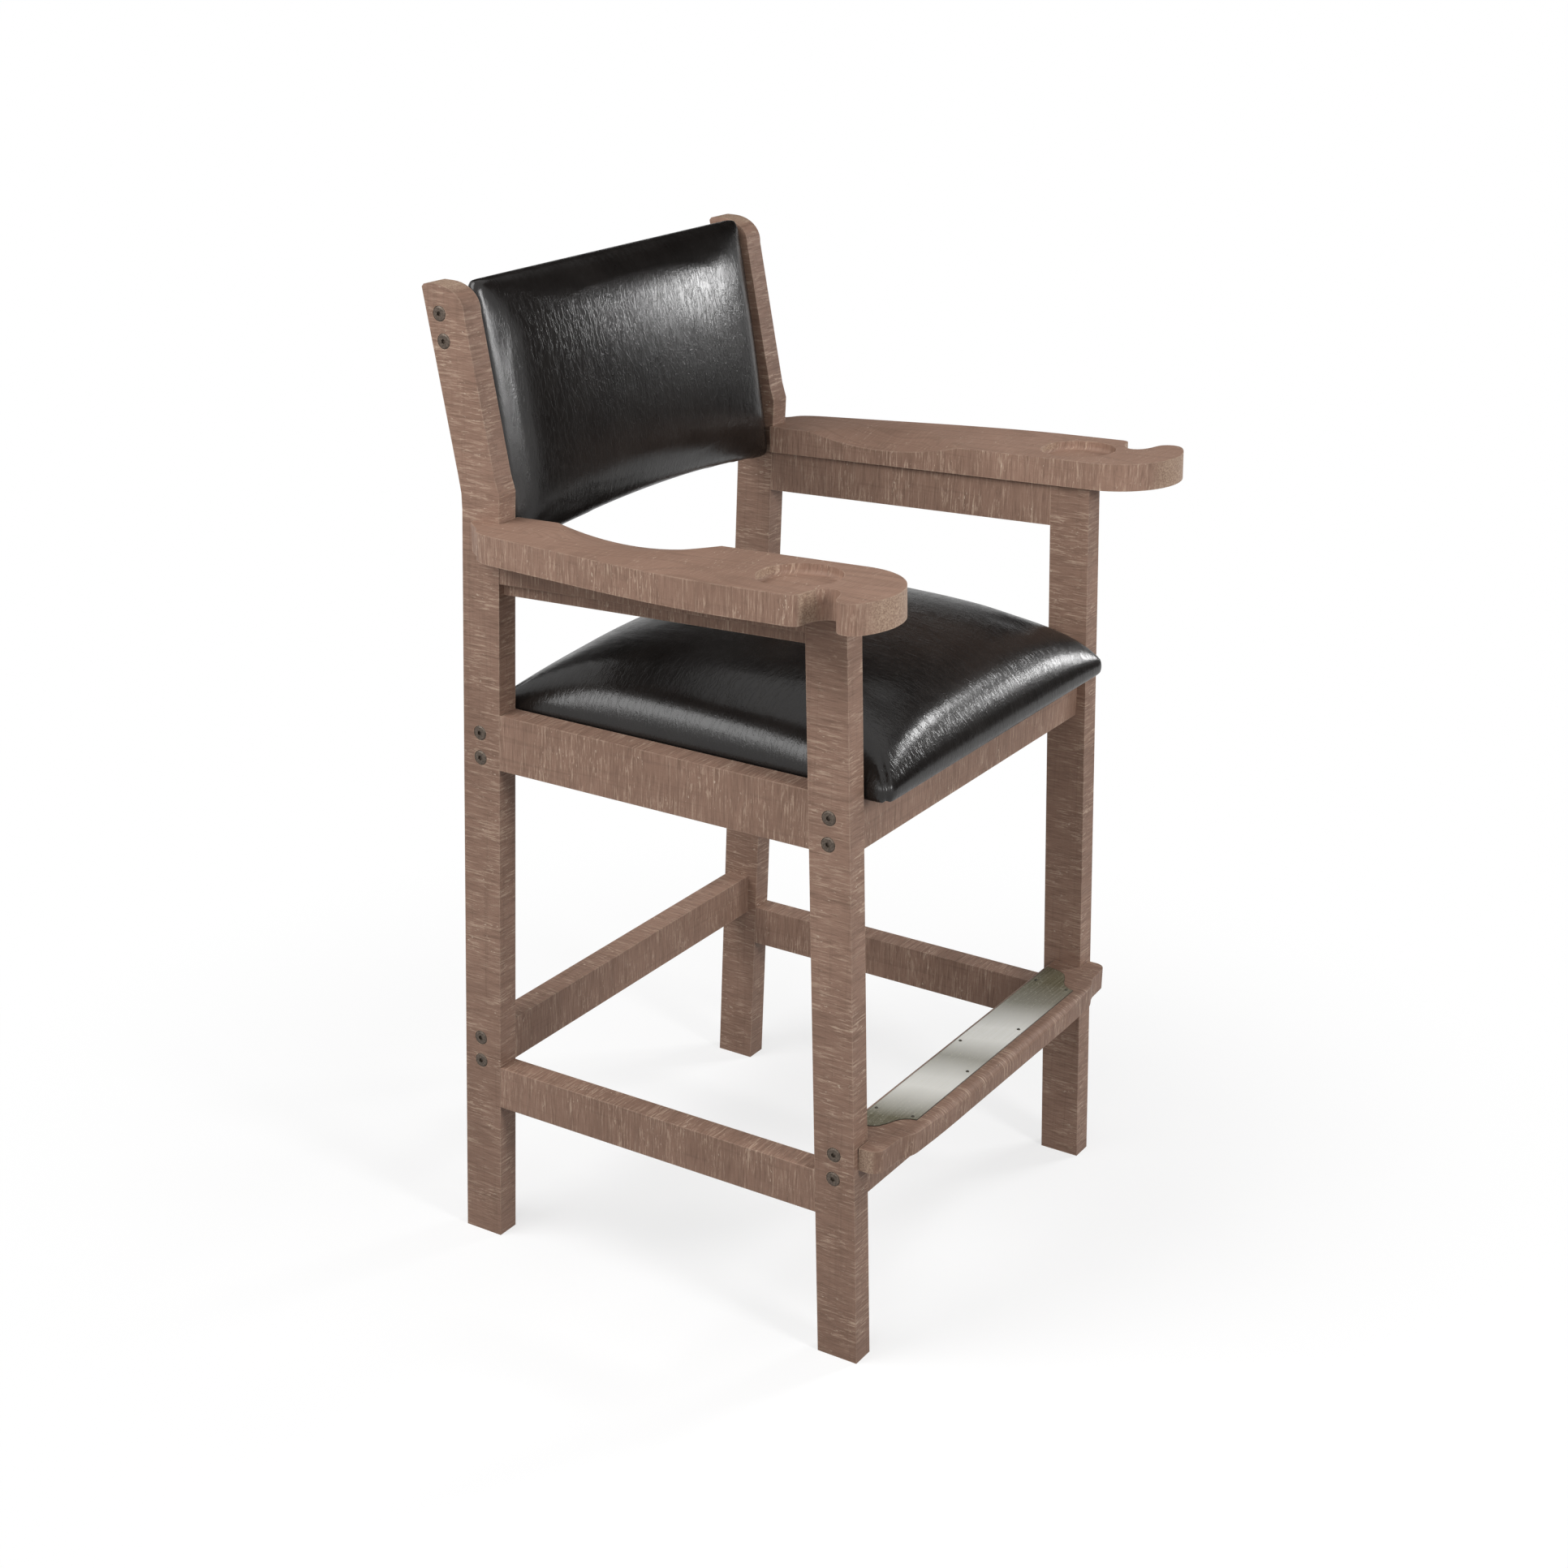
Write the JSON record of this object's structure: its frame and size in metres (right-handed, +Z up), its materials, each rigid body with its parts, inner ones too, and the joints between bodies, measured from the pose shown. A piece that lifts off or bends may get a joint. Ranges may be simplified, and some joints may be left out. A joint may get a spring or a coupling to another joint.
{
  "type": "spectator chair",
  "caption": "Tall wooden spectator chair with padded seat and back, wide armrests with a round recess and a cue notch, and a foot board with a metal wear plate.",
  "frame": {"origin": "centre of the bounding box in plan, at floor level", "axes": "+Z up, the chair's front faces -Y, the sitter's left is +X"},
  "size_m": [0.8442, 0.665, 1.231],
  "materials": {
    "frame_wood": "satin taupe brown stain with fine cross-grain saw marks and lighter worn edges",
    "arm_wood": "satin taupe brown stain, lighter on the worn top faces",
    "inner_wood": "plain unfinished hardwood",
    "plywood": "unfinished plywood",
    "leatherette": "black semi-gloss leatherette with a fine wrinkled grain",
    "lining_cloth": "thin matt black non-woven lining",
    "foam": "upholstery foam",
    "plate_metal": "brushed, pale tarnished metal",
    "plate_screw_metal": "dull",
    "bolt_metal": "dark bronze, satin",
    "hidden_steel": "zinc plated"
  },
  "bodies": {
    "root": {"back_post_left": "frame_wood", "back_post_right": "frame_wood", "front_post_left": "frame_wood", "front_post_right": "frame_wood", "lower_side_rail_left": "frame_wood", "lower_side_rail_right": "frame_wood", "seat_side_rail_left": "frame_wood", "seat_side_rail_right": "frame_wood", "front_seat_rail": "frame_wood", "rear_seat_rail": "frame_wood", "rear_stretcher": "frame_wood", "front_foot_rail": "frame_wood", "foot_board": "frame_wood", "foot_plate": "plate_metal", "plate_screws": "plate_screw_metal", "arm_rail_left": "frame_wood", "arm_rail_right": "frame_wood", "arm_cleat_left": "frame_wood", "arm_cleat_right": "frame_wood", "armrest_left": "arm_wood", "armrest_right": "arm_wood", "armrest_screws": "hidden_steel", "seat_cleat_left": "inner_wood", "seat_cleat_right": "inner_wood", "seat_board": "plywood", "seat_foam": "foam", "seat_cover": "leatherette", "seat_lining": "lining_cloth", "seat_screws": "hidden_steel", "upper_back_rail": "frame_wood", "lower_back_rail": "frame_wood", "back_board": "plywood", "back_foam": "foam", "back_cover": "leatherette", "back_lining": "lining_cloth", "back_screws": "hidden_steel", "frame_bolts": "bolt_metal", "barrel_nuts": "hidden_steel", "dowels": "inner_wood"}
  },
  "joints": []
}
